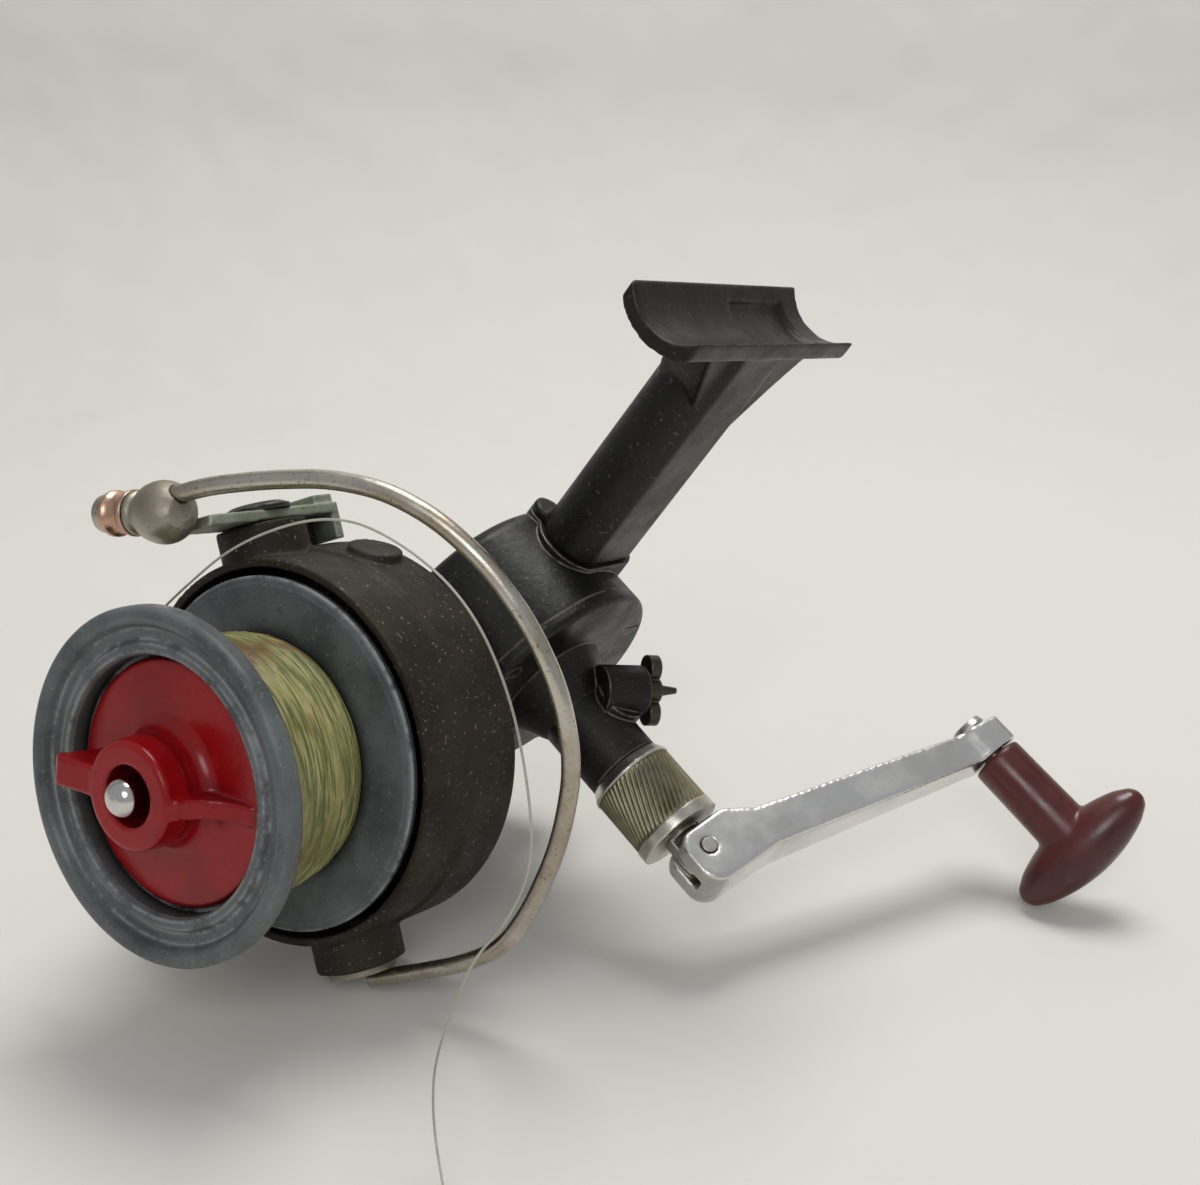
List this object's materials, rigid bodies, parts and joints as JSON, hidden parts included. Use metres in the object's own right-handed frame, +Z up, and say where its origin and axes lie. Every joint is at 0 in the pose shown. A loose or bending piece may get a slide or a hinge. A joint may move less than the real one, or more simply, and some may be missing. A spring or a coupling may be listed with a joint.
{
  "type": "spinning fishing reel",
  "caption": "Open-face spinning reel with a rod foot, gear case, rotor with bail and line roller, spool with front drag, and a folding crank with a turning knob.",
  "frame": {"origin": "middle of the rod seat, at the bottom of the foot's trough", "axes": "+X forwards along the spool's axis, +Y to the crank side, +Z up out of the trough towards the rod"},
  "size_m": [0.1546, 0.1574, 0.1388],
  "materials": {
    "body_metal": "worn matt black enamel",
    "cover_metal": "worn matt black enamel with bare edges",
    "rotor_plastic": "dusty dark brown black moulding",
    "spool_plastic": "dirty blue grey moulding",
    "drag_red": "glossy deep red moulding",
    "line_nylon": "greenish yellow aged nylon line",
    "steel": "turned steel, lightly oiled",
    "nickel": "worn nickel plate, brown stained",
    "corroded": "dull corroded alloy with green salts",
    "bright_alloy": "polished alloy",
    "knurled": "knurled, nickel worn to brass",
    "copper_roller": "coppery bronze roller",
    "brass": "machined brass",
    "bakelite": "dark maroon bakelite",
    "felt": "pressed wool felt",
    "bronze_bush": "sintered bronze"
  },
  "bodies": {
    "frame": {"stem_and_foot": "body_metal", "gear_case": "body_metal", "side_cover": "cover_metal", "cover_screws": "nickel", "guide_rod": "steel", "pinion_bearing": "steel", "bearing_retainer": "steel", "inner_bush": "bronze_bush", "outer_bush": "bronze_bush", "pawl_pin": "steel"},
    "rotor_assembly": {"rotor": "rotor_plastic", "rotor_nut": "nickel", "pinion": "brass", "pinion_washer": "steel", "ratchet_wheel": "steel", "bail_spring": "steel"},
    "bail": {"bail_arm": "corroded", "arm_pivot_cap": "body_metal", "wire_pivot_plate": "corroded", "arm_end": "corroded", "roller_nut": "nickel", "bail_wire": "nickel"},
    "roller": {"line_roller": "copper_roller"},
    "shaft": {"main_shaft": "steel", "crosshead": "brass", "oscillation_yoke": "steel", "spool_seat": "steel", "drag_plates": "steel", "button_spring": "steel", "fishing_line": "line_nylon"},
    "spool_assembly": {"spool": "spool_plastic", "line_winding": "line_nylon", "drag_felts": "felt"},
    "drag": {"drag_knob": "drag_red", "knob_insert": "brass"},
    "button": {"release_button": "nickel"},
    "handle": {"handle_shaft": "steel", "drive_wheel": "brass", "eccentric_pin": "steel"},
    "collar": {"collar_sleeve": "knurled", "collar_inner_rim": "nickel", "collar_outer_rim": "nickel"},
    "crank": {"crank": "bright_alloy", "fold_pin": "brass", "knob_spindle": "steel"},
    "knob": {"knob": "bakelite"},
    "lever": {"anti_reverse_lever": "corroded"},
    "pawl": {"pawl": "steel"}
  },
  "joints": [
    {"name": "handle_spin", "type": "hinge", "parent": "frame", "child": "handle", "pos_m": [0.0028, 0, -0.0767], "axis": [0, 1, 0], "continuous": true},
    {"name": "rotor_spin", "type": "hinge", "parent": "frame", "child": "rotor_assembly", "pos_m": [0.03, 0, -0.0985], "axis": [1, 0, 0], "continuous": true},
    {"name": "bail_flip", "type": "hinge", "parent": "rotor_assembly", "child": "bail", "pos_m": [0.0433, 0, -0.0985], "axis": [0, -0.8329, 0.5534], "range_deg": [-115, 0], "deforming": ["bail_spring"]},
    {"name": "roller_spin", "type": "hinge", "parent": "bail", "child": "roller", "pos_m": [0.0667, -0.03552, -0.07082], "axis": [0, -0.7088, -0.7054], "continuous": true},
    {"name": "shaft_slide", "type": "slide", "parent": "frame", "child": "shaft", "axis": [1, 0, 0], "range_m": [-0.0175, 0]},
    {"name": "drag_slip", "type": "hinge", "parent": "shaft", "child": "spool_assembly", "pos_m": [0.066, 0, -0.0985], "axis": [1, 0, 0], "continuous": true},
    {"name": "drag_turn", "type": "hinge", "parent": "shaft", "child": "drag", "pos_m": [0.0794, 0, -0.0985], "axis": [1, 0, 0], "range_deg": [-180, 180]},
    {"name": "button_press", "type": "slide", "parent": "drag", "child": "button", "axis": [1, 0, 0], "range_m": [-0.0018, 0], "stiffness_N_per_m": 600, "springref_m": 0.001, "deforming": ["button_spring"]},
    {"name": "collar_turn", "type": "hinge", "parent": "frame", "child": "collar", "pos_m": [0.0028, 0.045, -0.0767], "axis": [0, 1, 0], "continuous": true},
    {"name": "crank_fold", "type": "hinge", "parent": "handle", "child": "crank", "pos_m": [0.0028, 0.059, -0.0767], "axis": [-0.4462, 0, -0.8949], "range_deg": [0, 90]},
    {"name": "knob_spin", "type": "hinge", "parent": "crank", "child": "knob", "pos_m": [-0.0577, 0.09, -0.04654], "axis": [0, 1, 0], "continuous": true},
    {"name": "anti_reverse_switch", "type": "hinge", "parent": "frame", "child": "lever", "pos_m": [-0.0056, 0.0282, -0.0659], "axis": [-0.8493, 0.4596, 0.2598], "range_deg": [-45, 0]},
    {"name": "pawl_swing", "type": "hinge", "parent": "frame", "child": "pawl", "pos_m": [0.0252, -0.0052, -0.0908], "axis": [1, 0, 0], "range_deg": [-4, 0]}
  ],
  "couplings": [
    {"joint": "rotor_spin", "follows": "handle_spin", "ratio": 4},
    {"joint": "pawl_swing", "follows": "anti_reverse_switch", "ratio": 0.088}
  ]
}
